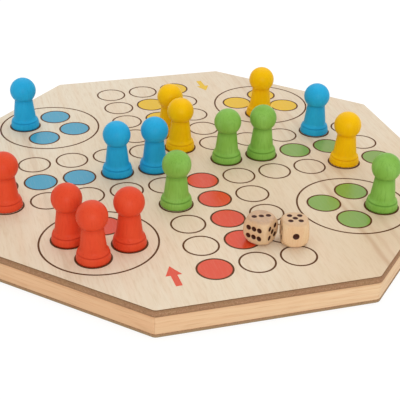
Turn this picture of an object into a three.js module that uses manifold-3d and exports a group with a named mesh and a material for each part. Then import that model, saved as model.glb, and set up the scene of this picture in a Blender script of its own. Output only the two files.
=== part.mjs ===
// Ludo game: a closed eight-sided wooden board box with its sixteen turned pawns and two dice.
// Units are millimetres. +Z is up, the underside lies on Z = 0 and the box is centred on the Z axis.
// The red side of the board faces -Y, green +X, yellow +Y and blue -X.

import * as THREE from 'three';
import { mergeVertices } from 'three/addons/utils/BufferGeometryUtils.js';
import Module from 'manifold-3d';

const wasm = await Module();
wasm.setup();
const { Manifold, Mesh: ManifoldMesh } = wasm;

// Box
const boxSides = 8;
const acrossFlats = 300;
const cornerRadius = 4;
const cornerFacets = 3;
const bottomThickness = 2;
const railHeight = 10.5;
const railWidth = 20;
const coreThickness = 3.5;
const veneerThickness = 0.5;
const arrisEase = 0.5;
const veneerInset = 0.7;
const glueLine = 0.05;
const mitreGap = 0.2;

// Print: eleven fields across and the bare margin round them, a little off square to the box
const fieldsAcross = 11;
const printMargin = 16.9;
const printTurn = THREE.MathUtils.degToRad(1.5);
const printShiftX = -0.75;
const printShiftY = 0.55;
const nestOutShare = 3.2;
const nestRingShare = Math.SQRT1_2;
const nestTurn = THREE.MathUtils.degToRad(-22.5);
const fieldPitch = (acrossFlats - 2 * printMargin) / fieldsAcross;

// Loose pieces stand on the print with this much air under them
const seatGap = 0.2;

// Pawn, turned in one piece
const pawn = {
  height: 34.8,
  headDiameter: 17.2,
  neckDiameter: 11.8,
  waistDiameter: 14.6,
  waistHeight: 8.3,
  shoulderDiameter: 17.5,
  shoulderHeight: 4.9,
  shoulderRise: 1,
  waistDrop: 2.7,
  footDiameter: 19.2,
  rimTopDiameter: 18.4,
  rimHeight: 4.5,
  footEase: 0.5,
  grooveDepth: 0.3,
  facets: 20,
  flareSteps: 4,
  headSteps: 5,
};

// Die
const die = {
  edge: 15,
  cornerBallDiameter: 20.4,
  ballFacets: 28,
  ballRings: 14,
  pipDiameter: 3.2,
  onePipDiameter: 3.6,
  pipDepth: 0.6,
  pipFacets: 10,
  pipRings: 10,
  pipSpread: 2.85,
  sixSpread: 3.45,
  sixRowSpread: 2.55,
};

const finishes = {
  fibreboard: { color: 0xa67f5f, roughness: 0.8, metalness: 0 },
  birchVeneer: { color: 0xe3d2b8, roughness: 0.55, metalness: 0 },
  solidPine: { color: 0xe4be92, roughness: 0.6, metalness: 0 },
  dieBeech: { color: 0xddb98a, roughness: 0.5, metalness: 0 },
  red: { color: 0xdc4428, roughness: 0.4, metalness: 0 },
  green: { color: 0x7baf45, roughness: 0.4, metalness: 0 },
  yellow: { color: 0xe3ae08, roughness: 0.4, metalness: 0 },
  blue: { color: 0x2499cc, roughness: 0.4, metalness: 0 },
};

// Levels of the stack, from the underside up
const railLevel = bottomThickness + glueLine;
const coreLevel = railLevel + railHeight + glueLine;
const veneerLevel = coreLevel + coreThickness + glueLine;
const playLevel = veneerLevel + veneerThickness;

const materials = Object.fromEntries(
  Object.entries(finishes).map(([name, finish]) => [name, new THREE.MeshStandardMaterial(finish)]),
);

function namedMesh(name, geometry, finish) {
  const mesh = new THREE.Mesh(geometry, materials[finish]);
  mesh.name = name;
  return mesh;
}

// Solids for cutting need closed meshes with shared vertices
function toSolid(geometry) {
  const bare = geometry.index ? geometry.toNonIndexed() : geometry.clone();
  bare.deleteAttribute('normal');
  bare.deleteAttribute('uv');
  const merged = mergeVertices(bare);
  return new Manifold(new ManifoldMesh({
    numProp: 3,
    vertProperties: new Float32Array(merged.attributes.position.array),
    triVerts: new Uint32Array(merged.index.array),
  }));
}

function toGeometry(solid) {
  const { vertProperties, triVerts } = solid.getMesh();
  const geometry = new THREE.BufferGeometry();
  geometry.setAttribute('position', new THREE.BufferAttribute(new Float32Array(vertProperties), 3));
  geometry.setIndex(new THREE.BufferAttribute(new Uint32Array(triVerts), 1));
  geometry.computeVertexNormals();
  return geometry;
}

// Points of the eight-sided outline, its flats square to the axes and its corners rounded by an arc
function outlinePoints(apothem, radius) {
  const halfTurn = Math.PI / boxSides;
  const cornerDistance = (apothem - radius) / Math.cos(halfTurn);
  const points = [];
  for (let side = 0; side < boxSides; side += 1) {
    const cornerAngle = (2 * side + 1) * halfTurn;
    const centre = new THREE.Vector2(Math.cos(cornerAngle), Math.sin(cornerAngle))
      .multiplyScalar(cornerDistance);
    for (let step = 0; step <= cornerFacets; step += 1) {
      const angle = cornerAngle + (2 * step / cornerFacets - 1) * halfTurn;
      points.push(new THREE.Vector2(
        centre.x + radius * Math.cos(angle),
        centre.y + radius * Math.sin(angle),
      ));
    }
  }
  return points;
}

// A closed plate lofted through outlines, each given by its apothem, corner radius and height
function loftedPlate(levels) {
  const rings = levels.map(({ apothem, radius }) => outlinePoints(apothem, radius));
  const count = rings[0].length;
  const positions = [];
  rings.forEach((ring, level) => {
    ring.forEach((point) => positions.push(point.x, point.y, levels[level].z));
  });
  const bottomCentre = positions.length / 3;
  positions.push(0, 0, levels[0].z);
  const topCentre = bottomCentre + 1;
  positions.push(0, 0, levels[levels.length - 1].z);
  const topStart = (levels.length - 1) * count;
  const index = [];
  for (let i = 0; i < count; i += 1) {
    const next = (i + 1) % count;
    index.push(bottomCentre, next, i);
    index.push(topCentre, topStart + i, topStart + next);
    for (let level = 0; level < levels.length - 1; level += 1) {
      const low = level * count;
      const high = low + count;
      index.push(low + i, low + next, high + next);
      index.push(low + i, high + next, high + i);
    }
  }
  const geometry = new THREE.BufferGeometry();
  geometry.setAttribute('position', new THREE.Float32BufferAttribute(positions, 3));
  geometry.setIndex(index);
  geometry.computeVertexNormals();
  return geometry;
}

const apothem = acrossFlats / 2;

// Thin fibreboard that closes the box underneath
function makeBottomPanel() {
  const geometry = loftedPlate([
    { apothem, radius: cornerRadius, z: 0 },
    { apothem, radius: cornerRadius, z: bottomThickness },
  ]);
  return namedMesh('bottom_panel', geometry, 'fibreboard');
}

// The playing panel's fibreboard core, its top arris eased so that the brown edge shows from above
function makeTopCore() {
  const geometry = loftedPlate([
    { apothem, radius: cornerRadius, z: 0 },
    { apothem, radius: cornerRadius, z: coreThickness - arrisEase },
    { apothem: apothem - arrisEase, radius: cornerRadius - arrisEase, z: coreThickness },
  ]);
  const mesh = namedMesh('top_core', geometry, 'fibreboard');
  mesh.position.z = coreLevel;
  return mesh;
}

// Pale face veneer that carries the print
function makeTopVeneer() {
  const inset = { apothem: apothem - veneerInset, radius: cornerRadius - veneerInset };
  const geometry = loftedPlate([{ ...inset, z: 0 }, { ...inset, z: veneerThickness }]);
  const mesh = namedMesh('top_veneer', geometry, 'birchVeneer');
  mesh.position.z = veneerLevel;
  return mesh;
}

// The frame is one ring of section railWidth by railHeight, cut into rails along the mitres
function makeFrameRails() {
  const outer = new THREE.Shape(outlinePoints(apothem, cornerRadius));
  const innerApothem = apothem - railWidth;
  const innerCorner = innerApothem / Math.cos(Math.PI / boxSides);
  const inner = new THREE.Path();
  for (let side = 0; side < boxSides; side += 1) {
    const angle = (2 * side + 1) * Math.PI / boxSides;
    const point = new THREE.Vector2(Math.cos(angle), Math.sin(angle)).multiplyScalar(innerCorner);
    if (side === 0) inner.moveTo(point.x, point.y);
    else inner.lineTo(point.x, point.y);
  }
  inner.closePath();
  outer.holes.push(inner);
  const ring = toSolid(new THREE.ExtrudeGeometry(outer, { depth: railHeight, bevelEnabled: false }));

  // A wedge as wide as one side, short of the mitre planes by half the gap each
  const halfTurn = Math.PI / boxSides;
  const tip = mitreGap / 2 / Math.sin(halfTurn);
  const wedgeReach = acrossFlats;
  const wedgeHalf = (wedgeReach - tip) * Math.tan(halfTurn);
  const wedgeShape = new THREE.Shape([
    new THREE.Vector2(tip, 0),
    new THREE.Vector2(wedgeReach, -wedgeHalf),
    new THREE.Vector2(wedgeReach, wedgeHalf),
  ]);
  const wedge = toSolid(new THREE.ExtrudeGeometry(wedgeShape, { depth: railHeight, bevelEnabled: false }));

  const sideNames = [
    'right', 'back_right', 'back', 'back_left', 'left', 'front_left', 'front', 'front_right',
  ];
  return sideNames.map((sideName, side) => {
    const turned = wedge.rotate([0, 0, side * 360 / boxSides]);
    const mesh = namedMesh(`frame_rail_${sideName}`, toGeometry(ring.intersect(turned)), 'solidPine');
    mesh.position.z = railLevel;
    return mesh;
  });
}

// Half section of a pawn: tapered foot rim, groove, flared body and ball head, from axis to axis
function pawnProfile() {
  const footRadius = pawn.footDiameter / 2;
  const rimTopRadius = pawn.rimTopDiameter / 2;
  const headRadius = pawn.headDiameter / 2;
  const neckRadius = pawn.neckDiameter / 2;
  const shoulderRadius = pawn.shoulderDiameter / 2;
  const waistRadius = pawn.waistDiameter / 2;
  const headCentre = pawn.height - headRadius;
  const points = [
    new THREE.Vector2(0, 0),
    new THREE.Vector2(footRadius - pawn.footEase, 0),
    new THREE.Vector2(footRadius, pawn.footEase),
    new THREE.Vector2(rimTopRadius, pawn.rimHeight - pawn.footEase),
    new THREE.Vector2(rimTopRadius - pawn.footEase, pawn.rimHeight),
    new THREE.Vector2(shoulderRadius - pawn.grooveDepth, (pawn.rimHeight + pawn.shoulderHeight) / 2),
  ];
  // The flare leaves the shoulder upwards and runs into the body's taper
  const flare = new THREE.CubicBezierCurve(
    new THREE.Vector2(shoulderRadius, pawn.shoulderHeight),
    new THREE.Vector2(shoulderRadius, pawn.shoulderHeight + pawn.shoulderRise),
    new THREE.Vector2(waistRadius, pawn.waistHeight - pawn.waistDrop),
    new THREE.Vector2(waistRadius, pawn.waistHeight),
  );
  points.push(...flare.getPoints(pawn.flareSteps));
  // The head's arc starts where the ball meets the neck
  const neckAngle = Math.PI - Math.asin(neckRadius / headRadius);
  for (let step = 0; step < pawn.headSteps; step += 1) {
    const angle = neckAngle * (1 - step / pawn.headSteps);
    points.push(new THREE.Vector2(
      headRadius * Math.sin(angle),
      headCentre + headRadius * Math.cos(angle),
    ));
  }
  points.push(new THREE.Vector2(0, pawn.height));
  return points;
}

// A lathe turns round Y, so its axis is stood up along Z
const pawnGeometry = new THREE.LatheGeometry(pawnProfile(), pawn.facets).rotateX(Math.PI / 2);

// Pips of each face as places on it, in millimetres from its middle
function pipPlaces(value) {
  const spread = die.pipSpread;
  const middle = [[0, 0]];
  const diagonal = [[-spread, -spread], [spread, spread]];
  const otherDiagonal = [[-spread, spread], [spread, -spread]];
  const sixRows = [-1, 0, 1].flatMap((column) => [
    [column * die.sixSpread, -die.sixRowSpread],
    [column * die.sixSpread, die.sixRowSpread],
  ]);
  return {
    1: middle,
    2: diagonal,
    3: [...diagonal, ...middle],
    4: [...diagonal, ...otherDiagonal],
    5: [...diagonal, ...otherDiagonal, ...middle],
    6: sixRows,
  }[value];
}

// The ball that dishes a pip: it meets the face in the pip's circle, and its lowest point is the pip's depth
// under the face
function pipBall(diameter) {
  const radius = ((diameter / 2) ** 2 + die.pipDepth ** 2) / (2 * die.pipDepth);
  const geometry = new THREE.SphereGeometry(radius, die.pipFacets, die.pipRings).rotateX(Math.PI / 2);
  return { geometry, lift: radius - die.pipDepth };
}

// A cube tumbled to a ball at its corners and edges, with dished pips: 3 on top, 6 to the front,
// opposite faces add up to seven, and the single pip is the largest
function makeDieGeometry() {
  const half = die.edge / 2;
  const faces = [
    { value: 3, out: [0, 0, 1], across: [1, 0, 0] },
    { value: 4, out: [0, 0, -1], across: [1, 0, 0] },
    { value: 6, out: [0, -1, 0], across: [1, 0, 0] },
    { value: 1, out: [0, 1, 0], across: [1, 0, 0] },
    { value: 5, out: [1, 0, 0], across: [0, 1, 0] },
    { value: 2, out: [-1, 0, 0], across: [0, 1, 0] },
  ];
  const cornerBall = new THREE.SphereGeometry(die.cornerBallDiameter / 2, die.ballFacets, die.ballRings);
  let body = toSolid(new THREE.BoxGeometry(die.edge, die.edge, die.edge)).intersect(toSolid(cornerBall));
  faces.forEach(({ value, out, across }) => {
    const outAxis = new THREE.Vector3(...out);
    const acrossAxis = new THREE.Vector3(...across);
    const upAxis = new THREE.Vector3().crossVectors(outAxis, acrossAxis);
    const turn = new THREE.Matrix4().makeBasis(acrossAxis, upAxis, outAxis);
    const ball = pipBall(value === 1 ? die.onePipDiameter : die.pipDiameter);
    pipPlaces(value).forEach(([a, b]) => {
      const place = outAxis.clone().multiplyScalar(half + ball.lift)
        .addScaledVector(acrossAxis, a)
        .addScaledVector(upAxis, b);
      const cutter = ball.geometry.clone().applyMatrix4(turn).translate(place.x, place.y, place.z);
      body = body.subtract(toSolid(cutter));
    });
  });
  return toGeometry(body);
}

// Places on the print, counted in fields from the middle of the board
function trackPlace(column, row) {
  return new THREE.Vector2(column, row).multiplyScalar(fieldPitch);
}

// The four fields of a nest stand on a small ring; quarter 0 is its right-hand field
function nestPlace(sideX, sideY, quarter) {
  const angle = nestTurn + quarter * Math.PI / 2;
  return new THREE.Vector2(
    sideX * nestOutShare + nestRingShare * Math.cos(angle),
    sideY * nestOutShare + nestRingShare * Math.sin(angle),
  ).multiplyScalar(fieldPitch);
}

const pawnPlaces = {
  red: [trackPlace(-5, -1), nestPlace(-1, -1, 2), nestPlace(-1, -1, 3), nestPlace(-1, -1, 0)],
  green: [trackPlace(-1, -2), trackPlace(1, 0), trackPlace(2, 0), nestPlace(1, -1, 0)],
  yellow: [trackPlace(0, 2), trackPlace(0, 1), nestPlace(1, 1, 3), trackPlace(4, -1)],
  blue: [nestPlace(-1, 1, 2), trackPlace(-2, 0), trackPlace(-1, 0), trackPlace(4, 1)],
};

function makePawns() {
  return Object.entries(pawnPlaces).flatMap(([colour, places]) => places.map((place, i) => {
    const mesh = namedMesh(`${colour}_pawn_${i + 1}`, pawnGeometry, colour);
    mesh.position.set(place.x, place.y, playLevel + seatGap);
    return mesh;
  }));
}

// The dice lie where they rolled: the first counted in fields, the second beside it in die edges
const diceColumnShare = 0.4;
const diceRowShare = -4.1;
const dieThrows = [
  { besideXShare: 0, besideYShare: 0, turn: THREE.MathUtils.degToRad(-51.8), tip: 0 },
  { besideXShare: 1.15, besideYShare: -0.49, turn: THREE.MathUtils.degToRad(165), tip: -Math.PI / 2 },
];

function makeDice() {
  const geometry = makeDieGeometry();
  const firstPlace = trackPlace(diceColumnShare, diceRowShare);
  return dieThrows.map(({ besideXShare, besideYShare, turn, tip }, i) => {
    const mesh = namedMesh(`die_${i + 1}`, geometry, 'dieBeech');
    const beside = new THREE.Vector2(besideXShare, besideYShare).multiplyScalar(die.edge);
    const place = firstPlace.clone().add(beside);
    mesh.rotation.y = tip;
    const thrown = new THREE.Group();
    thrown.position.set(place.x, place.y, playLevel + seatGap + die.edge / 2);
    thrown.rotation.z = turn;
    thrown.add(mesh);
    return thrown;
  });
}

const board = new THREE.Group();
board.add(makeBottomPanel(), ...makeFrameRails(), makeTopCore(), makeTopVeneer());

// The loose pieces stand square to the print
const pieces = new THREE.Group();
pieces.position.set(printShiftX, printShiftY, 0);
pieces.rotation.z = printTurn;
pieces.add(...makePawns(), ...makeDice());

const ludoGame = new THREE.Group();
ludoGame.add(board, pieces);

export default ludoGame;
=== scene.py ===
"""Looks of the ludo game: an eight-sided wooden board box with sixteen turned pawns and two dice.

Lengths are millimetres until they go into a mesh. +Z is up and the red side of the board faces -Y.
"""

import math

import bpy
import numpy as np
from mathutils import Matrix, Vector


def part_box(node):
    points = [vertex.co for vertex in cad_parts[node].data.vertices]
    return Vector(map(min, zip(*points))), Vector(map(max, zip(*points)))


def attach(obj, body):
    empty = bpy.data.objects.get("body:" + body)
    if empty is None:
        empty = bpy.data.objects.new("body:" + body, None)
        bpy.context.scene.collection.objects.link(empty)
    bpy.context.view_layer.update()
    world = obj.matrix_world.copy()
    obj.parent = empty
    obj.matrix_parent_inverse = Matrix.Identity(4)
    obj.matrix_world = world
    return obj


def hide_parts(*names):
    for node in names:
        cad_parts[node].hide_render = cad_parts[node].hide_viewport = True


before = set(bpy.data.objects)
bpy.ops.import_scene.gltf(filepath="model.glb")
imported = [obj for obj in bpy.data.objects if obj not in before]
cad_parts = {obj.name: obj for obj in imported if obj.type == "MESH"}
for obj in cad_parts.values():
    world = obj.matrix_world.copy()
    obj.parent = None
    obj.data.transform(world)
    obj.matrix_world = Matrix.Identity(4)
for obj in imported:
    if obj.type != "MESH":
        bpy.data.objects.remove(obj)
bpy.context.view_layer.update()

MM = 0.001
SHARP_EDGE = math.radians(35)

# Board box: what the frame doesn't say about it. A rail's width runs inwards, the mitre line is the gap that
# shows between two rails, and an arris is the rounding of a sharp edge
SIDES = 8
CORNER_RADIUS = 4.0
CORNER_STEPS = 8
RAIL_WIDTH = 20.0
MITRE_LINE = 0.06
SAWN_ARRIS = 0.25
CORE_ARRIS = 0.5
VENEER_ARRIS = 0.12
ARRIS_STEPS = 3

# Print: fields stand one pitch apart, and the whole lies a little off square to the box
FIELD_PITCH = 24.2
PRINT_TURN = math.radians(1.5)
PRINT_SHIFT = (-0.75, 0.55)
# Rings, to the outside of their lines
RING_RADIUS = 10.47
NEST_CIRCLE_RADIUS = 33.82
LINE_WIDTH = 1.1
RING_STEPS = 72
NEST_STEPS = 216
# Nests, counted in fields: how far out to both sides, how far their four fields stand from their middle, and
# the turn of those four
NEST_OUT = 3.2
NEST_RING = math.sqrt(0.5)
NEST_TURN = math.radians(-22.5)
# Ink: how far it lies over the veneer, and how thick it is
INK_LIFT = 0.01
FILL_THICKNESS = 0.02
LINE_THICKNESS = 0.04
# Arrow tips, counted in fields: how far to the left and how far out from the middle
ARROW_SIDE = 1.94
ARROW_TIP = 4.62
# Arrow: its whole length, the width and length of its head, how far down the head its faces meet, and the
# width of its shaft
ARROW_LENGTH = 19.1
ARROW_HEAD = (9.2, 9.0)
ARROW_MIDDLE = 7.2
ARROW_SHAFT = 3.7

# Pawn, as turned. A pair is a diameter and its height over the foot's underside. The rise and the drop are
# how far the sweep from the shoulder to the waist keeps straight up at either end
PAWN_STEPS = 96
HEAD_DIAMETER = 17.2
NECK_DIAMETER = 11.8
WAIST = (14.6, 8.3)
SHOULDER = (17.5, 4.9)
SHOULDER_RISE = 1.0
WAIST_DROP = 2.7
FOOT_RIM = (18.4, 4.5)
RIM_ROUND = 0.9
GROOVE_DEPTH = 0.3
GROOVE_HALF_WIDTH = 0.1
# How far from straight up the rounding of the rim's top and the crown of the head end
RIM_END = 0.12 * math.pi
CROWN_END = 0.02
# Points on the rounding of the rim, the sweep of the shoulder, the taper of the body and the head
RIM_STEPS = 6
SWEEP_STEPS = 22
TAPER_STEPS = 12
HEAD_STEPS = 40
# How far the painted shade reaches up and down from the groove, the neck and the foot's underside, where
# shade falls, and how much of it there is at the neck
GROOVE_SHADE = 0.45
NECK_SHADE = 1.5
FOOT_SHADE = 0.8
NECK_SHADE_SHARE = 0.7

# Die. The power is how sharply the ball cuts the cube, and the bleed how soft a pip's stain ends
DIE_BALL_RADIUS = 10.2
DIE_BALL_POWER = 32
DIE_EDGE_ROUND = 1.0
DIE_STEPS = 88
PIP_RADIUS = 1.6
ONE_PIP_RADIUS = 1.8
PIP_DEPTH = 0.6
PIP_STAIN = 1.52
ONE_PIP_STAIN = 1.9
PIP_BLEED = 0.1
PIP_SPREAD = 2.85
SIX_SPREAD = (3.45, 2.55)
WELD_DIGITS = 5
# How each die lies: its turn about Z, after its tip about Y, and the axis of the cube that its grain follows
DICE_TURNS = {"die_1": (math.radians(-50.3), 0.0), "die_2": (math.radians(166.5), -math.pi / 2)}
DICE_GRAIN = {"die_1": 2, "die_2": 0}
# How far under a die's end the look of end grain starts and is full
END_GRAIN_DEPTH = (1.6, 0.5)
# How dark each die's wood is, on its sides and on its end grain, from the palest to the darkest beech
DICE_WARMTH = {"die_1": (0.25, 1.0), "die_2": (0.0, 0.5)}

# How far apart in the timber the pieces were cut: across the grain, through it and along it
RAIL_CUTS = np.array([37.0, 23.0, 170.0])
PAWN_CUTS = np.array([19.0, 31.0, 47.0])
DIE_CUTS = 53.0

# The sides of the board from -Y on, counterclockwise from above
COLOURS = ("red", "green", "yellow", "blue")


def box_mm(node):
    """Lowest and highest corner of a CAD node, in millimetres."""
    low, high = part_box(node)
    return np.array(low) / MM, np.array(high) / MM


def closed_loft(rings, start, end):
    """Closed surface through rings of points: P(i, j) is point j of ring i, joined to column j + 1,
    and a fan from a single point closes each end."""
    rows, columns = rings.shape[:2]
    points = np.concatenate([rings.reshape(-1, 3), [start], [end]])
    here = np.arange(columns)
    after = (here + 1) % columns
    base = (np.arange(rows - 1) * columns)[:, None]
    quads = np.stack(
        [base + here, base + after, base + columns + after, base + columns + here], -1
    ).reshape(-1, 4)
    first = np.full(columns, rows * columns)
    last = (rows - 1) * columns
    fans = np.concatenate([
        np.stack([first, after, here], 1),
        np.stack([first + 1, last + here, last + after], 1),
    ])
    return outward(points, quads, fans)


def closed_band(rings):
    """Closed surface that wraps both ways: ring i joins ring i + 1, and the last joins the first."""
    rows, columns = rings.shape[:2]
    here = np.arange(columns)
    after = (here + 1) % columns
    base = (np.arange(rows) * columns)[:, None]
    ahead = ((np.arange(rows) + 1) % rows * columns)[:, None]
    quads = np.stack([base + here, base + after, ahead + after, ahead + here], -1).reshape(-1, 4)
    return outward(rings.reshape(-1, 3), quads, np.empty((0, 3), int))


def outward(points, quads, triangles):
    """Turns every face over if the signed volume, the sum of corner . (corner x corner) / 6, is negative."""
    halves = np.concatenate([quads[:, [0, 1, 2]], quads[:, [0, 2, 3]], triangles])
    a, b, c = (points[halves[:, k]] for k in range(3))
    if np.einsum("ij,ij->", a, np.cross(b, c)) < 0:
        quads, triangles = quads[:, ::-1], triangles[:, ::-1]
    return points, quads.tolist() + triangles.tolist()


def turned(points, angle):
    """Flat or solid points turned round Z: (x cos a - y sin a, x sin a + y cos a), any height kept."""
    c, s = math.cos(angle), math.sin(angle)
    size = points.shape[1]
    return points @ np.array([[c, s, 0], [-s, c, 0], [0, 0, 1]])[:size, :size]


def joined(parts):
    """One set of points and faces out of several."""
    points, faces = [], []
    count = 0
    for some_points, some_faces in parts:
        faces += [[corner + count for corner in face] for face in some_faces]
        points.append(some_points)
        count += len(some_points)
    return np.concatenate(points), faces


def make_piece(name, surface, wood, material, body, stands_for=(), marks=None):
    """A mesh object with its place in its mesh, that rides on a body of the model. wood gives each point's
    place in the timber, across the grain, through it and along it, in millimetres. marks are further values
    per point, and stands_for the CAD nodes that the piece shows."""
    points, faces = surface
    mesh = bpy.data.meshes.new(name)
    mesh.from_pydata((points * MM).tolist(), [], faces)
    mesh.polygons.foreach_set("use_smooth", np.ones(len(faces), bool))
    mesh.set_sharp_from_angle(angle=SHARP_EDGE)
    grain = mesh.attributes.new("wood", "FLOAT_VECTOR", "POINT")
    grain.data.foreach_set("vector", np.asarray(wood, np.float32).ravel())
    for mark, values in (marks or {}).items():
        layer = mesh.attributes.new(mark, "FLOAT", "POINT")
        layer.data.foreach_set("value", np.asarray(values, np.float32))
    mesh.materials.append(material)
    piece = bpy.data.objects.new(name, mesh)
    bpy.context.scene.collection.objects.link(piece)
    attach(piece, body)
    if stands_for:
        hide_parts(*stands_for)


# Colour and materials

def linear(hex_colour):
    """Linear RGBA of an sRGB hex colour: c / 12.92 below 0.04045, and ((c + 0.055) / 1.055) ^ 2.4 above."""
    srgb = [int(hex_colour[i:i + 2], 16) / 255 for i in (0, 2, 4)]
    return [c / 12.92 if c <= 0.04045 else ((c + 0.055) / 1.055) ** 2.4 for c in srgb] + [1.0]


def add(tree, kind, inputs=None, **settings):
    """Adds a node, sets its properties, and gives each named or numbered input a value or a link."""
    node = tree.nodes.new(kind)
    for key, value in settings.items():
        setattr(node, key, value)
    for key, value in (inputs or {}).items():
        if isinstance(value, bpy.types.NodeSocket):
            tree.links.new(value, node.inputs[key])
        else:
            node.inputs[key].default_value = value
    return node


# Places of the factor, the two colours and the result on a Mix node
MIX_FACTOR, MIX_A, MIX_B, MIX_RESULT = 0, 6, 7, 2

# Each figure layer is width across the grain, length along it, the noise values where it starts and is
# full, how much of its colour shows then, and that colour. Sizes are millimetres.
BIRCH = {
    "base": "EADEC9",
    "warm": "DDC4A4",
    "layers": [
        (30.0, 420.0, 0.36, 0.66, 0.45, "E2CDAF"),
        (8.0, 160.0, 0.50, 0.74, 0.30, "E2C0A2"),
        (2.2, 40.0, 0.46, 0.72, 0.26, "D8BC98"),
        (1.0, 9.0, 0.48, 0.72, 0.34, "CBAC86"),
    ],
}
PINE = {
    "base": "F0CFA6",
    "warm": "E4B084",
    "layers": [
        (7.0, 220.0, 0.36, 0.66, 0.50, "E4BC90"),
        (1.7, 60.0, 0.48, 0.72, 0.45, "DCA87C"),
        (0.8, 18.0, 0.52, 0.72, 0.50, "CC986C"),
    ],
}
BEECH = {
    "base": "E7C79C",
    "warm": "BC9C82",
    "layers": [
        (4.0, 24.0, 0.38, 0.66, 0.60, "E2B890"),
        (0.7, 9.0, 0.48, 0.70, 0.32, "D8AC7A"),
        (0.22, 1.3, 0.57, 0.70, 0.45, "C0905E"),
    ],
}
FIBRE = {
    "base": "A67F5B",
    "layers": [
        (14.0, 14.0, 0.38, 0.62, 0.50, "A6765C"),
        (1.6, 3.0, 0.46, 0.68, 0.60, "846243"),
        (0.8, 1.4, 0.50, 0.68, 0.65, "C09979"),
    ],
}
SCORCHED = "906C4C"
VENEER_BLEED = 0.04
# Shades on the sides of the board: how far from the top or the underside of its piece each starts and is
# full, how much of its tone shows then, and the tone
VENEER_SCORCH = (VENEER_ARRIS, VENEER_ARRIS + VENEER_BLEED, 1.0, SCORCHED)
CORE_TOP_SCORCH = (1.2, 0.5, 0.5, SCORCHED)
CORE_UNDER_SCORCH = (1.2, 0.3, 0.5, SCORCHED)
# Painted shade along the top of the rails, just under the panel
UNDER_PANEL_SHADE = (1.8, 0.0, 0.35, "C88E60")
BASE_PALING = (1.8, 0.6, 0.8, "A38D6B")
# Veneer: the way it warms, from the back left to the front right, and the stretches on that way over which
# it does, each with its share
WARM_WAY = (0.71, 0.0, -0.71)
WARM_STEPS = [(-120.0, -72.0, 0.38), (90.0, 138.0, 0.6)]
# A warmer patch round a place on the face, its reach and its share
WARM_PATCH = (25.0, 16.6, -40.0)
WARM_PATCH_REACH = 110.0
WARM_PATCH_SHARE = 0.4
# Where the finest figure starts and is full, and how much less the ink covers there
INK_GAPS = (0.50, 0.72, 0.045)
# Heart streaks: place across the board, half a width, and how much of the streak's colour shows at its
# middle, in front and behind. They change over between the two places along the board
HEART_STREAKS = [
    (71.9, 3.0, 0.60, 0.12),
    (78.0, 2.0, 0.25, 0.20),
    (88.0, 3.0, 0.30, 0.30),
    (78.0, 16.0, 0.12, 0.08),
    (-98.0, 3.0, 0.22, 0.22),
    (-130.0, 24.0, 0.10, 0.10),
]
HEART_CHANGE = (-80.0, 0.0)
HEART_WANDER = 55.0
HEART_TONE = "C09A78"
# Lacquer: the width and the length of the clouds in it and of the grain that shows through, and where the
# colour of the clouds, the grain and the painted shade starts and is full, and how much of it shows then
LACQUER_CLOUDS = (9.0, 14.0)
LACQUER_GRAIN = (0.8, 26.0)
CLOUD_SHARE = (0.40, 0.66, 0.5)
GRAIN_SHARE = (0.50, 0.72, 0.35)
SHADE_SHARE = (0.0, 1.0, 0.75)
PIP_BROWN = "3C1504"
RAILS = ("right", "back_right", "back", "back_left", "left", "front_left", "front", "front_right")
# How much warmer each rail is than the palest one, at its two ends, in the order of RAILS
RAIL_WARMTH = [
    (0.0, 0.2), (0.5, 0.4), (0.2, 0.3), (0.6, 0.5), (0.3, 0.3), (0.55, 0.75), (0.4, 0.0), (0.0, 0.0),
]


def figure(tree, width, length, detail, roughness):
    """Noise in the timber, as wide across the grain and as long along it as given, in millimetres."""
    place = add(tree, "ShaderNodeAttribute", attribute_name="wood").outputs["Vector"]
    stretched = add(tree, "ShaderNodeVectorMath", {
        0: place, 1: (1 / width, 1 / width, 1 / length),
    }, operation="MULTIPLY")
    noise = add(tree, "ShaderNodeTexNoise", {
        "Vector": stretched.outputs["Vector"], "Scale": 1.0, "Detail": detail, "Roughness": roughness,
    })
    return noise.outputs["Fac"]


def toned(tree, colour, tone, value, start, full, amount):
    """Mixes a tone into a colour: none of it where the value is at the start, its amount where it is full."""
    share = add(tree, "ShaderNodeMapRange", {
        "Value": value, "From Min": start, "From Max": full, "To Max": amount,
    })
    return add(tree, "ShaderNodeMix", {
        MIX_FACTOR: share.outputs["Result"], MIX_A: colour, MIX_B: linear(tone),
    }, data_type="RGBA").outputs[MIX_RESULT]


def timber(tree, kind, warmth=None):
    """Colour of a wood and its finest figure: the base colour is warmed where a share is given, and each
    layer's colour is mixed in where its figure rises past its start."""
    colour = linear(kind["base"])
    if warmth is not None:
        colour = add(tree, "ShaderNodeMix", {
            MIX_FACTOR: warmth, MIX_A: colour, MIX_B: linear(kind["warm"]),
        }, data_type="RGBA").outputs[MIX_RESULT]
    for width, length, start, full, amount, tone in kind["layers"]:
        height = figure(tree, width, length, detail=3.0, roughness=0.55)
        colour = toned(tree, colour, tone, height, start, full, amount)
    return colour, height


def finished(name, paint, roughness, gloss, relief, relief_depth):
    """A material on the standard shader. paint(tree) gives the colour and the height of the surface. gloss
    is the specular level, relief the strength of the bump and relief_depth its depth in millimetres."""
    material = bpy.data.materials.new(name)
    material.use_nodes = True
    tree = material.node_tree
    tree.nodes.clear()
    colour, height = paint(tree)
    bump = add(tree, "ShaderNodeBump", {
        "Height": height, "Strength": relief, "Distance": relief_depth * MM,
    })
    surface = add(tree, "ShaderNodeBsdfPrincipled", {
        "Base Color": colour, "Roughness": roughness, "Specular IOR Level": gloss,
        "Normal": bump.outputs["Normal"],
    })
    add(tree, "ShaderNodeOutputMaterial", {"Surface": surface.outputs["BSDF"]})
    return material


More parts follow.
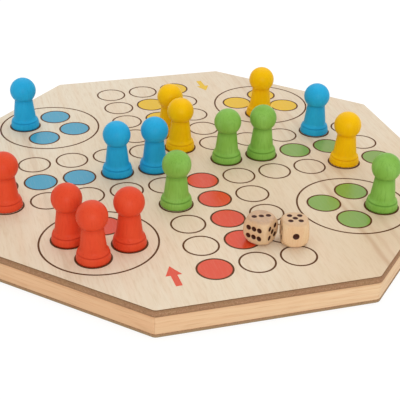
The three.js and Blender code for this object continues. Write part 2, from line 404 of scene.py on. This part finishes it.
def veneer_face(tree):
    """Birch figure, warmer towards the front right, with a few heart streaks that wander along the grain."""
    place = add(tree, "ShaderNodeAttribute", attribute_name="wood").outputs["Vector"]
    away = add(tree, "ShaderNodeVectorMath", {0: place, 1: WARM_PATCH}, operation="DISTANCE")
    warmth = add(tree, "ShaderNodeMapRange", {
        "Value": away.outputs["Value"], "From Max": WARM_PATCH_REACH,
        "To Min": WARM_PATCH_SHARE, "To Max": 0.0,
    }, interpolation_type="SMOOTHSTEP").outputs["Result"]
    way = add(tree, "ShaderNodeVectorMath", {0: place, 1: WARM_WAY}, operation="DOT_PRODUCT")
    for start, end, share in WARM_STEPS:
        step = add(tree, "ShaderNodeMapRange", {
            "Value": way.outputs["Value"], "From Min": start, "From Max": end, "To Max": share,
        })
        warmth = add(tree, "ShaderNodeMath", {
            0: warmth, 1: step.outputs["Result"],
        }, operation="ADD").outputs[0]
    colour, height = timber(tree, BIRCH, warmth)
    split = add(tree, "ShaderNodeSeparateXYZ", {0: place})
    across_grain, along_grain = split.outputs["X"], split.outputs["Z"]
    wander = figure(tree, math.inf, HEART_WANDER, detail=2.0, roughness=0.5)
    for across, half_width, front_amount, back_amount in HEART_STREAKS:
        amount = add(tree, "ShaderNodeMapRange", {
            "Value": along_grain, "From Min": HEART_CHANGE[0], "From Max": HEART_CHANGE[1],
            "To Min": front_amount, "To Max": back_amount,
        })
        course = add(tree, "ShaderNodeMapRange", {
            "Value": wander, "To Min": across - half_width, "To Max": across + half_width,
        })
        off = add(tree, "ShaderNodeMath", {
            0: across_grain, 1: course.outputs["Result"],
        }, operation="SUBTRACT")
        distance = add(tree, "ShaderNodeMath", {0: off.outputs[0]}, operation="ABSOLUTE")
        streak = add(tree, "ShaderNodeMapRange", {
            "Value": distance.outputs[0], "From Max": half_width,
            "To Min": amount.outputs["Result"], "To Max": 0.0,
        }, interpolation_type="SMOOTHSTEP")
        colour = add(tree, "ShaderNodeMix", {
            MIX_FACTOR: streak.outputs["Result"], MIX_A: colour, MIX_B: linear(HEART_TONE),
        }, data_type="RGBA").outputs[MIX_RESULT]
    return colour, height


def below(top, shade):
    """A shade's two levels, measured down from the top of its piece, its amount and its tone."""
    start, full, amount, tone = shade
    return top - start, top - full, amount, tone


def above(under, shade):
    """A shade's two levels, measured up from the underside of its piece, its amount and its tone."""
    start, full, amount, tone = shade
    return under + start, under + full, amount, tone


def shaded_edges(tree, colour, shades):
    """Mixes each tone into a colour between two levels, from none at the first to its amount at the second.
    A level is the height over the underside of the board, in millimetres."""
    place = add(tree, "ShaderNodeTexCoord").outputs["Object"]
    level = add(tree, "ShaderNodeSeparateXYZ", {0: place}).outputs["Z"]
    for start, full, amount, tone in shades:
        colour = toned(tree, colour, tone, level, start * MM, full * MM, amount)
    return colour


def birch_veneer(top):
    """Rotary-cut birch under thin matt lacquer: pale, with long soft bands, fine dashes and hardly any gloss.
    Its sawn edge is scorched as brown as the core."""
    def paint(tree):
        colour, height = veneer_face(tree)
        return shaded_edges(tree, colour, [below(top, VENEER_SCORCH)]), height
    return finished(
        "birch_veneer_matt", paint, roughness=0.5, gloss=0.25, relief=0.25, relief_depth=0.05,
    )


def planed_pine(top):
    """Planed softwood, bare: warm, faintly lined along the rail, some lengths warmer, a dry surface, and a
    little painted shade just under the panel."""
    def paint(tree):
        warmth = add(tree, "ShaderNodeAttribute", attribute_name="warmth").outputs["Fac"]
        colour, height = timber(tree, PINE, warmth)
        # Painted shade just under the panel
        return shaded_edges(tree, colour, [below(top, UNDER_PANEL_SHADE)]), height
    return finished(
        "planed_pine_bare", paint, roughness=0.62, gloss=0.25, relief=0.3, relief_depth=0.06,
    )


def sawn_fibreboard(name, shades):
    """Sawn edge of pressed fibreboard, dry and rough: brown, speckled with fibres, darker where the saw
    scorched it and paler where it was rubbed."""
    def paint(tree):
        colour, height = timber(tree, FIBRE)
        return shaded_edges(tree, colour, shades), height
    return finished(name, paint, roughness=0.8, gloss=0.2, relief=0.35, relief_depth=0.06)


def printed_ink(name, ink_colour, cover, gloss):
    """Screen-print ink on the veneer: paler in dashes where it sank into the grain. The thick ink of the
    fields and arrows is glossy enough to mirror the pieces and the white room, and the thin lines are
    matt."""
    def paint(tree):
        wood, height = veneer_face(tree)
        start, full, lost = INK_GAPS
        covered = add(tree, "ShaderNodeMapRange", {
            "Value": height, "From Min": start, "From Max": full, "To Min": cover, "To Max": cover - lost,
        })
        inked = add(tree, "ShaderNodeMix", {
            MIX_FACTOR: covered.outputs["Result"], MIX_A: wood, MIX_B: linear(ink_colour),
        }, data_type="RGBA")
        return inked.outputs[MIX_RESULT], height
    return finished(name, paint, roughness=0.25, gloss=gloss, relief=0.1, relief_depth=0.03)


def satin_lacquer(name, body, shade, light):
    """Satin lacquer sprayed on turned beech: even colour with faint clouds, grain lines telegraphing through,
    painted shade in the groove, under the head and at the foot, and a soft low sheen."""
    def paint(tree):
        cloud = figure(tree, *LACQUER_CLOUDS, detail=2.0, roughness=0.5)
        grain = figure(tree, *LACQUER_GRAIN, detail=3.0, roughness=0.6)
        # Painted shade: how much the pawn is darkened in its groove, under its head and round its foot
        painted_shade = add(tree, "ShaderNodeAttribute", attribute_name="painted_shade").outputs["Fac"]
        colour = toned(tree, linear(body), light, cloud, *CLOUD_SHARE)
        colour = toned(tree, colour, shade, grain, *GRAIN_SHARE)
        colour = toned(tree, colour, shade, painted_shade, *SHADE_SHARE)
        return colour, grain
    return finished(name, paint, roughness=0.38, gloss=0.1, relief=0.25, relief_depth=0.04)


def tumbled_beech():
    """Tumbled beech, bare: warm tan with short dark flecks, darker on the end grain, and its pips stained a
    deep brown."""
    def paint(tree):
        warmth = add(tree, "ShaderNodeAttribute", attribute_name="warmth").outputs["Fac"]
        wood, height = timber(tree, BEECH, warmth)
        pip = add(tree, "ShaderNodeAttribute", attribute_name="pip").outputs["Fac"]
        stained = add(tree, "ShaderNodeMix", {
            MIX_FACTOR: pip, MIX_A: wood, MIX_B: linear(PIP_BROWN),
        }, data_type="RGBA")
        return stained.outputs[MIX_RESULT], height
    return finished(
        "tumbled_beech_bare", paint, roughness=0.5, gloss=0.22, relief=0.3, relief_depth=0.04,
    )


# Board box

apothem = box_mm("bottom_panel")[1][0]
half_turn = math.pi / SIDES


def board_outline(side_apothem, radius):
    """Eight flats square to the axes, joined by arcs: corner centre + radius (cos t, sin t), t over each
    corner's turn."""
    corner = (2 * np.arange(SIDES) + 1) * half_turn
    turn = np.linspace(-half_turn, half_turn, CORNER_STEPS + 1)
    angle = corner[:, None] + turn
    centre = (side_apothem - radius) / math.cos(half_turn)
    x = centre * np.cos(corner)[:, None] + radius * np.cos(angle)
    y = centre * np.sin(corner)[:, None] + radius * np.sin(angle)
    return np.stack([x.ravel(), y.ravel()], 1)


def eased_edge(low, high, low_round, high_round):
    """How far in from the side, and how high, a plate's edge runs: a quarter arc, a straight side and a
    quarter arc."""
    turn = np.linspace(0, math.pi / 2, ARRIS_STEPS + 1)
    inset = np.concatenate([low_round * (1 - np.sin(turn)), high_round * (1 - np.cos(turn))])
    height = np.concatenate([low + low_round * (1 - np.cos(turn)), high - high_round * (1 - np.sin(turn))])
    return inset, height


def make_plate(name, node, material, low_round, high_round):
    """A plate of the board: the outline, drawn in by the eased edge, lofted up its height."""
    low, high = box_mm(node)
    inset, height = eased_edge(low[2], high[2], low_round, high_round)
    rings = []
    for drawn_in, z in zip(inset, height):
        radius = CORNER_RADIUS - (apothem - high[0]) - drawn_in
        outline = board_outline(high[0] - drawn_in, radius)
        rings.append(np.column_stack([outline, np.full(len(outline), z)]))
    surface = closed_loft(np.array(rings), [0, 0, low[2]], [0, 0, high[2]])
    wood = surface[0][:, [0, 2, 1]]
    make_piece(name, surface, wood, material, "board", [node])


def rail_surface(low, high):
    """One mitred rail along Y, its outer face at x = apothem: the section, a rectangle with eased edges, is
    carried from mitre to mitre, following half of the rounded corner at each end."""
    reach = (apothem - CORNER_RADIUS) * math.tan(half_turn)
    turn = np.linspace(0, half_turn, CORNER_STEPS // 2 + 1)
    outer_x = apothem - CORNER_RADIUS + CORNER_RADIUS * np.cos(turn)
    outer_y = reach + CORNER_RADIUS * np.sin(turn)
    outer_x = np.concatenate([outer_x[::-1], outer_x])
    outer_y = np.concatenate([-outer_y[::-1], outer_y])
    inner_x = np.full(len(outer_x), apothem - RAIL_WIDTH)
    inner_y = outer_y / outer_y[-1] * (apothem - RAIL_WIDTH) * math.tan(half_turn)
    inset, height = eased_edge(low, high, SAWN_ARRIS, SAWN_ARRIS)
    depth = np.concatenate([inset, RAIL_WIDTH - inset[::-1]]) / RAIL_WIDTH
    height = np.concatenate([height, height[::-1]])
    x = outer_x[:, None] + (inner_x - outer_x)[:, None] * depth
    y = outer_y[:, None] + (inner_y - outer_y)[:, None] * depth
    y = y - np.sign(y) * MITRE_LINE / 2 * np.abs(y) / np.abs(y).max()
    rings = np.stack([x, y, np.broadcast_to(height, x.shape)], -1)
    return closed_loft(rings, rings[0].mean(0), rings[-1].mean(0))


def make_rails(material):
    """Eight rails, each the same mitred bar turned to its side, cut from another length of timber."""
    low, high = box_mm("frame_rail_right")
    local, faces = rail_surface(low[2], high[2])
    along = local[:, 1]
    for side, side_name in enumerate(RAILS):
        points = turned(local, 2 * side * half_turn)
        wood = local[:, [0, 2, 1]] + RAIL_CUTS * side
        warmth = np.interp(along, [along.min(), along.max()], RAIL_WARMTH[side])
        make_piece(
            f"pine_rail_{side_name}", (points, faces), wood, material, "board",
            [f"frame_rail_{side_name}"], {"warmth": warmth},
        )


# Print

def on_board(fields):
    """Millimetres on the board of places counted in fields: turned by the print's angle, then shifted."""
    return turned(np.atleast_2d(fields) * FIELD_PITCH, PRINT_TURN) + PRINT_SHIFT


def ring_band(centre, radius, width, low, high, steps):
    """Flat ring: the four corners of its section, at radius and radius - width, turned round the centre."""
    turn = np.linspace(0, 2 * math.pi, steps, endpoint=False)
    reach = np.array([radius - width, radius, radius, radius - width])
    height = np.array([low, low, high, high])
    x = centre[0] + np.cos(turn)[:, None] * reach
    y = centre[1] + np.sin(turn)[:, None] * reach
    return closed_band(np.stack([x, y, np.broadcast_to(height, x.shape)], -1))


def flat_patch(outline, middle, low, high):
    """A thin closed plate with the given outline, fanned from a point inside it."""
    rings = np.array([np.column_stack([outline, np.full(len(outline), z)]) for z in (low, high)])
    return closed_loft(rings, [*middle, low], [*middle, high])


def disc_patch(centre, radius, low, high):
    """A disc: centre + radius (cos t, sin t)."""
    turn = np.linspace(0, 2 * math.pi, RING_STEPS, endpoint=False)
    outline = centre + radius * np.stack([np.cos(turn), np.sin(turn)], 1)
    return flat_patch(outline, centre, low, high)


def arrow_patch(quarter, low, high):
    """A block arrow that points to the middle, on the left of one side's track, turned by quarters."""
    half_head = ARROW_HEAD[0] / 2
    half_shaft = ARROW_SHAFT / 2
    outline = np.array([
        [0, 0], [half_head, -ARROW_HEAD[1]], [half_shaft, -ARROW_HEAD[1]], [half_shaft, -ARROW_LENGTH],
        [-half_shaft, -ARROW_LENGTH], [-half_shaft, -ARROW_HEAD[1]], [-half_head, -ARROW_HEAD[1]],
    ])
    middle = np.array([[0, -ARROW_MIDDLE]])
    tip = np.array([-ARROW_SIDE, -ARROW_TIP]) * FIELD_PITCH
    points = np.concatenate([outline, middle]) + tip
    points = on_board(turned(points, quarter * math.pi / 2) / FIELD_PITCH)
    return flat_patch(points[:-1], points[-1], low, high)


def turned_quarters(place, quarter):
    """A place on the print, turned round the middle by quarter turns."""
    x, y = place
    for _ in range(quarter):
        x, y = -y, x
    return x, y


def track_fields():
    """The forty fields of the track: on each side's arm, ten that repeat by quarter turns."""
    arm = [(-1, -2), (-1, -3), (-1, -4), (-1, -5), (0, -5), (1, -5), (1, -4), (1, -3), (1, -2), (1, -1)]
    return [turned_quarters(field, quarter) for quarter in range(4) for field in arm]


def coloured_fields(quarter):
    """One colour's fields: its start, its four home fields, and the four of its nest."""
    home = [(0, -row) for row in (4, 3, 2, 1)]
    plain = [turned_quarters(field, quarter) for field in [(-1, -5), *home]]
    nest_x, nest_y = turned_quarters((-NEST_OUT, -NEST_OUT), quarter)
    angles = NEST_TURN + np.arange(4) * math.pi / 2
    nest = [(nest_x + NEST_RING * math.cos(a), nest_y + NEST_RING * math.sin(a)) for a in angles]
    return plain, nest, (nest_x, nest_y)


def make_film(name, surface, material):
    """A film of ink that lies on the veneer and takes the veneer's grain."""
    make_piece(name, surface, surface[0][:, [0, 2, 1]], material, "board")


def make_print(inks):
    """The print as thin films of ink on the veneer: dark rings, and the fills and an arrow in each colour."""
    level = box_mm("top_veneer")[1][2] + INK_LIFT
    line_top = level + LINE_THICKNESS
    fill_top = level + FILL_THICKNESS
    ringed = track_fields()
    lines = []
    for quarter, colour in enumerate(COLOURS):
        plain, nest, nest_middle = coloured_fields(quarter)
        ringed += [field for field in plain + nest if field not in ringed]
        fills = [
            disc_patch(on_board(field)[0], RING_RADIUS - LINE_WIDTH / 2, level, fill_top)
            for field in plain + nest
        ]
        fills.append(arrow_patch(quarter, level, fill_top))
        lines.append(ring_band(
            on_board(nest_middle)[0], NEST_CIRCLE_RADIUS, LINE_WIDTH, level, line_top, NEST_STEPS,
        ))
        make_film(f"print_{colour}", joined(fills), inks[colour])
    for field in ringed:
        lines.append(ring_band(on_board(field)[0], RING_RADIUS, LINE_WIDTH, level, line_top, RING_STEPS))
    make_film("print_lines", joined(lines), inks["line"])


# Pawns

def arc(centre_r, centre_z, radius, start, end, steps):
    """Points centre + radius (sin t, cos t), with t from start to end measured from straight up."""
    turn = np.linspace(start, end, steps)
    return np.stack([centre_r + radius * np.sin(turn), centre_z + radius * np.cos(turn)], 1)


def pawn_profile(height, foot_diameter):
    """Radius and height of the turned shape from the foot's underside to the top of the head, and how much
    painted
    shade lies there: rounded rim, groove, shoulder swept into the body by a cubic curve, neck and ball."""
    foot, shoulder, waist, head = (d / 2 for d in (foot_diameter, SHOULDER[0], WAIST[0], HEAD_DIAMETER))
    neck = NECK_DIAMETER / 2
    head_middle = height - head
    rim_top = FOOT_RIM[0] / 2
    groove_z = (FOOT_RIM[1] + SHOULDER[1]) / 2
    rim_low = arc(foot - RIM_ROUND, RIM_ROUND, RIM_ROUND, math.pi, math.pi / 2, RIM_STEPS)
    rim_high = arc(
        rim_top - RIM_ROUND, FOOT_RIM[1] - RIM_ROUND, RIM_ROUND, math.pi / 2, RIM_END, RIM_STEPS,
    )
    groove = np.array([
        [shoulder - GROOVE_DEPTH, groove_z - GROOVE_HALF_WIDTH],
        [shoulder - GROOVE_DEPTH, groove_z + GROOVE_HALF_WIDTH],
    ])
    t = np.linspace(0, 1, SWEEP_STEPS)[:, None]
    control = np.array([
        [shoulder, SHOULDER[1]], [shoulder, SHOULDER[1] + SHOULDER_RISE],
        [waist, WAIST[1] - WAIST_DROP], [waist, WAIST[1]],
    ])
    sweep = sum(
        weight * (1 - t) ** (3 - k) * t ** k * control[k] for k, weight in enumerate((1, 3, 3, 1))
    )
    neck_angle = math.pi - math.asin(neck / head)
    neck_z = head_middle + head * math.cos(neck_angle)
    taper = np.linspace([waist, WAIST[1]], [neck, neck_z], TAPER_STEPS)[1:-1]
    ball = arc(0, head_middle, head, neck_angle, CROWN_END, HEAD_STEPS)
    profile = np.concatenate([rim_low, rim_high, groove, sweep, taper, ball])
    # Painted shade in the groove, under the head and round the foot's lower edge, where shade falls
    near_groove = np.exp(-((profile[:, 1] - groove_z) / GROOVE_SHADE) ** 2)
    near_neck = np.exp(-((profile[:, 1] - neck_z) / NECK_SHADE) ** 2)
    near_foot = np.exp(-(profile[:, 1] / FOOT_SHADE) ** 2)
    return profile, np.maximum.reduce([near_groove, NECK_SHADE_SHARE * near_neck, near_foot])


def make_pawn(node, number, material):
    """A pawn turned round its own axis: P(u, v) = (r(v) cos u, r(v) sin u, z(v)) + its place."""
    low, high = box_mm(node)
    middle = (low + high) / 2
    profile, painted_shade = pawn_profile(high[2] - low[2], high[0] - low[0])
    turn = np.linspace(0, 2 * math.pi, PAWN_STEPS, endpoint=False)
    x = profile[:, :1] * np.cos(turn)
    y = profile[:, :1] * np.sin(turn)
    rings = np.stack([x, y, np.broadcast_to(profile[:, 1:], x.shape)], -1)
    local, faces = closed_loft(rings, [0, 0, 0], [0, 0, high[2] - low[2]])
    points = local + [middle[0], middle[1], low[2]]
    # Painted shade for each point, none at the two poles
    painted_shades = np.concatenate([np.repeat(painted_shade, PAWN_STEPS), [0, 0]])
    make_piece(
        f"turned_{node}", (points, faces), local + PAWN_CUTS * number, material, node,
        [node], {"painted_shade": painted_shades},
    )


# Dice

def pip_places(value):
    """Places of a face's pips from its middle: a middle one, one or both diagonals, or two rows of three."""
    d = PIP_SPREAD
    middle = [(0, 0)]
    diagonal = [(-d, -d), (d, d)]
    other = [(-d, d), (d, -d)]
    rows = [(column * SIX_SPREAD[0], row * SIX_SPREAD[1]) for column in (-1, 0, 1) for row in (-1, 1)]
    faces = {1: middle, 2: diagonal, 3: diagonal + middle, 4: diagonal + other, 5: diagonal + other + middle}
    return np.array(rows if value == 6 else faces[value], float)


def die_surface(edge):
    """A cube face by face: the point q on the cube is drawn to the rounded cube, then pulled inside the ball
    by q (1 + (|q| / R) ^ k) ^ (-1 / k), and each pip lowers it by depth (1 - (d / r) ^ 2). Points that
    faces share are welded. Also gives how much stain is on each point."""
    half = edge / 2
    # Each face's value, the way out of it and the way across it
    faces = [
        (3, (0, 0, 1), (1, 0, 0)), (4, (0, 0, -1), (1, 0, 0)), (6, (0, -1, 0), (1, 0, 0)),
        (1, (0, 1, 0), (1, 0, 0)), (5, (1, 0, 0), (0, 1, 0)), (2, (-1, 0, 0), (0, 1, 0)),
    ]
    step = np.linspace(-half, half, DIE_STEPS + 1)
    a, b = (grid.ravel() for grid in np.meshgrid(step, step, indexing="ij"))
    corner = np.arange(DIE_STEPS)
    i, j = (grid.ravel() for grid in np.meshgrid(corner, corner, indexing="ij"))
    row = DIE_STEPS + 1
    face_quads = np.stack([i * row + j, (i + 1) * row + j, (i + 1) * row + j + 1, i * row + j + 1], 1)
    points, quads, stain = [], [], []
    for number, (value, out, across) in enumerate(faces):
        out, across = np.array(out, float), np.array(across, float)
        up = np.cross(out, across)
        q = out * half + a[:, None] * across + b[:, None] * up
        core = np.clip(q, DIE_EDGE_ROUND - half, half - DIE_EDGE_ROUND)
        away = q - core
        reach = np.linalg.norm(away, axis=1, keepdims=True)
        q = core + away / reach * DIE_EDGE_ROUND
        size = np.linalg.norm(q, axis=1, keepdims=True)
        q = q * (1 + (size / DIE_BALL_RADIUS) ** DIE_BALL_POWER) ** (-1 / DIE_BALL_POWER)
        flat = np.stack([q @ across, q @ up], 1)
        gap = np.linalg.norm(flat[:, None] - pip_places(value)[None], axis=2).min(1)
        pip_radius, stain_radius = (ONE_PIP_RADIUS, ONE_PIP_STAIN) if value == 1 else (PIP_RADIUS, PIP_STAIN)
        q = q - out * (PIP_DEPTH * np.clip(1 - (gap / pip_radius) ** 2, 0, 1))[:, None]
        points.append(q)
        stain.append(np.clip((stain_radius + PIP_BLEED - gap) / (2 * PIP_BLEED), 0, 1))
        quads.append(face_quads + number * len(a))
    points, stain = np.concatenate(points), np.concatenate(stain)
    rounded = np.round(points, WELD_DIGITS)
    _, first, same = np.unique(rounded, axis=0, return_index=True, return_inverse=True)
    quads = same.ravel()[np.concatenate(quads)]
    surface = outward(points[first], quads, np.empty((0, 3), int))
    return surface, stain[first]


def make_die(node, number, material):
    """A die that lies where it rolled: tipped on its side about Y, then turned about Z."""
    low, high = box_mm(node)
    (local, faces), stain = die_surface(high[2] - low[2])
    turn, tip = DICE_TURNS[node]
    c, s = math.cos(tip), math.sin(tip)
    tipped = local @ np.array([[c, 0, -s], [0, 1, 0], [s, 0, c]])
    points = turned(tipped, turn) + (low + high) / 2
    grain = DICE_GRAIN[node]
    wood = np.roll(local, 2 - grain, axis=1) + DIE_CUTS * number
    under_end = (high[2] - low[2]) / 2 - np.abs(local[:, grain])
    deep, shallow = END_GRAIN_DEPTH
    end_grain = np.clip((deep - under_end) / (deep - shallow), 0, 1)
    sides, ends = DICE_WARMTH[node]
    make_piece(
        f"tumbled_{node}", (points, faces), wood, material, node, [node],
        {"pip": stain, "warmth": sides + (ends - sides) * end_grain},
    )


# Stage: a white floor in a white room, a large soft light high up behind on the right, a soft fill from the
# front, and the camera

CAMERA_PLACE = (-155.18, -525.69, 298.15)
CAMERA_TURN = (60.635, -1.320, -16.296)
CAMERA_LENS = 86.06
CAMERA_SENSOR = 36.0
FLOOR_SIZE = 12000.0
FLOOR_DROP = 0.1
# The floor to the eye: how bright it glows and how much light falls on it besides, which keeps the shadow
FLOOR_GLOW = 0.82
FLOOR_CATCH = 0.24
# The floor to all other light
FLOOR_BOUNCE = 0.8
ROOM_LIGHT = 0.66
# Lamps: place and size in millimetres, and power in watts
KEY_LIGHT = ((400, 800, 1850), 2200, 16.5)
FILL_LIGHT = ((-300, -2000, 700), 1000, 13)


def grey(level):
    """A grey of one level, in linear light."""
    return (level, level, level, 1)


def seen_rays(tree):
    """1 for the rays that show a thing, straight, mirrored or through glass, and 0 for light it throws on."""
    path = add(tree, "ShaderNodeLightPath")
    seen = path.outputs["Is Camera Ray"]
    for ray in ("Is Glossy Ray", "Is Transmission Ray"):
        seen = add(tree, "ShaderNodeMath", {
            0: seen, 1: path.outputs[ray],
        }, operation="ADD", use_clamp=True).outputs[0]
    return seen


def make_floor():
    """A white floor: to the eye a glow with a faint soft shadow under the object, and to all other light a
    pale matt floor."""
    half = FLOOR_SIZE / 2
    mesh = bpy.data.meshes.new("floor")
    corners = [(-half, -half), (half, -half), (half, half), (-half, half)]
    mesh.from_pydata([(x * MM, y * MM, -FLOOR_DROP * MM) for x, y in corners], [], [(0, 1, 2, 3)])
    material = bpy.data.materials.new("white_floor")
    material.use_nodes = True
    tree = material.node_tree
    tree.nodes.clear()
    glow = add(tree, "ShaderNodeEmission", {"Color": grey(1), "Strength": FLOOR_GLOW})
    shaded = add(tree, "ShaderNodeBsdfDiffuse", {"Color": grey(FLOOR_CATCH)})
    shown = add(tree, "ShaderNodeAddShader", {0: shaded.outputs[0], 1: glow.outputs[0]})
    bounce = add(tree, "ShaderNodeBsdfDiffuse", {"Color": grey(FLOOR_BOUNCE)})
    mixed = add(tree, "ShaderNodeMixShader", {
        0: seen_rays(tree), 1: bounce.outputs[0], 2: shown.outputs[0],
    })
    add(tree, "ShaderNodeOutputMaterial", {"Surface": mixed.outputs[0]})
    mesh.materials.append(material)
    floor = bpy.data.objects.new("floor", mesh)
    bpy.context.scene.collection.objects.link(floor)


def make_world(strength):
    """Even white surroundings: they light the object at strength, and show as white."""
    world = bpy.data.worlds.new("white_room")
    bpy.context.scene.world = world
    world.use_nodes = True
    tree = world.node_tree
    tree.nodes.clear()
    level = add(tree, "ShaderNodeMapRange", {"Value": seen_rays(tree), "To Min": strength, "To Max": 1.0})
    white = add(tree, "ShaderNodeBackground", {"Color": grey(1), "Strength": level.outputs["Result"]})
    add(tree, "ShaderNodeOutputWorld", {"Surface": white.outputs[0]})


def make_lamp(name, place, size, power):
    """A square soft box that faces the middle of the board. Place and size are millimetres, power watts."""
    light = bpy.data.lights.new(name, "AREA")
    light.shape = "SQUARE"
    light.size = size * MM
    light.energy = power
    lamp = bpy.data.objects.new(name, light)
    bpy.context.scene.collection.objects.link(lamp)
    place = np.array(place, float)
    flat = math.hypot(place[0], place[1])
    lamp.location = place * MM
    lamp.rotation_euler = (math.atan2(flat, place[2]), 0, math.atan2(place[0], -place[1]))


def make_camera():
    """The photograph's viewpoint."""
    data = bpy.data.cameras.new("camera")
    data.lens = CAMERA_LENS
    data.sensor_width = CAMERA_SENSOR
    camera = bpy.data.objects.new("camera", data)
    bpy.context.scene.collection.objects.link(camera)
    camera.location = np.array(CAMERA_PLACE) * MM
    camera.rotation_euler = [math.radians(angle) for angle in CAMERA_TURN]
    bpy.context.scene.camera = camera


# The pieces made and put together

# Each ink's name, its colour, how much of the wood it covers and its gloss
inks = {
    "line": printed_ink("ink_dark_brown", "562B04", 0.96, 0.02),
    "red": printed_ink("ink_red", "DA3800", 0.97, 0.3),
    "green": printed_ink("ink_green", "7AA03D", 0.97, 0.3),
    "yellow": printed_ink("ink_yellow", "E6BA18", 0.98, 0.16),
    "blue": printed_ink("ink_blue", "3199BA", 0.97, 0.3),
}
# Each lacquer's name, its colour, the darker colour of its grain and of its painted shade, and the colour of
# its clouds
lacquers = {
    "red": satin_lacquer("satin_lacquer_red", "E04A2A", "C63A1E", "E45634"),
    "green": satin_lacquer("satin_lacquer_green", "81B34A", "5E8C30", "96C862"),
    "yellow": satin_lacquer("satin_lacquer_yellow", "F5BC00", "E4A600", "FCCA00"),
    "blue": satin_lacquer("satin_lacquer_blue", "26A6D8", "1A8EC0", "2EB2E2"),
}

make_camera()
base_under = box_mm("bottom_panel")[0][2]
base_edge = sawn_fibreboard("sawn_fibreboard_base", [above(base_under, BASE_PALING)])
make_plate("fibreboard_base", "bottom_panel", base_edge, SAWN_ARRIS, SAWN_ARRIS)
core_under, core_top = (corner[2] for corner in box_mm("top_core"))
core_edge = sawn_fibreboard("sawn_fibreboard_core", [
    below(core_top, CORE_TOP_SCORCH), above(core_under, CORE_UNDER_SCORCH),
])
make_plate("fibreboard_core", "top_core", core_edge, SAWN_ARRIS, CORE_ARRIS)
make_rails(planed_pine(box_mm("frame_rail_right")[1][2]))
face = birch_veneer(box_mm("top_veneer")[1][2])
make_plate("birch_face", "top_veneer", face, VENEER_ARRIS, VENEER_ARRIS)
make_print(inks)
for set_number, set_colour in enumerate(COLOURS):
    for number in range(1, 5):
        node = f"{set_colour}_pawn_{number}"
        make_pawn(node, 4 * set_number + number, lacquers[set_colour])
beech = tumbled_beech()
for number in (1, 2):
    make_die(f"die_{number}", number, beech)
make_floor()
make_world(ROOM_LIGHT)
make_lamp("key_light", *KEY_LIGHT)
make_lamp("fill_light", *FILL_LIGHT)
bpy.context.scene.view_settings.view_transform = "Standard"
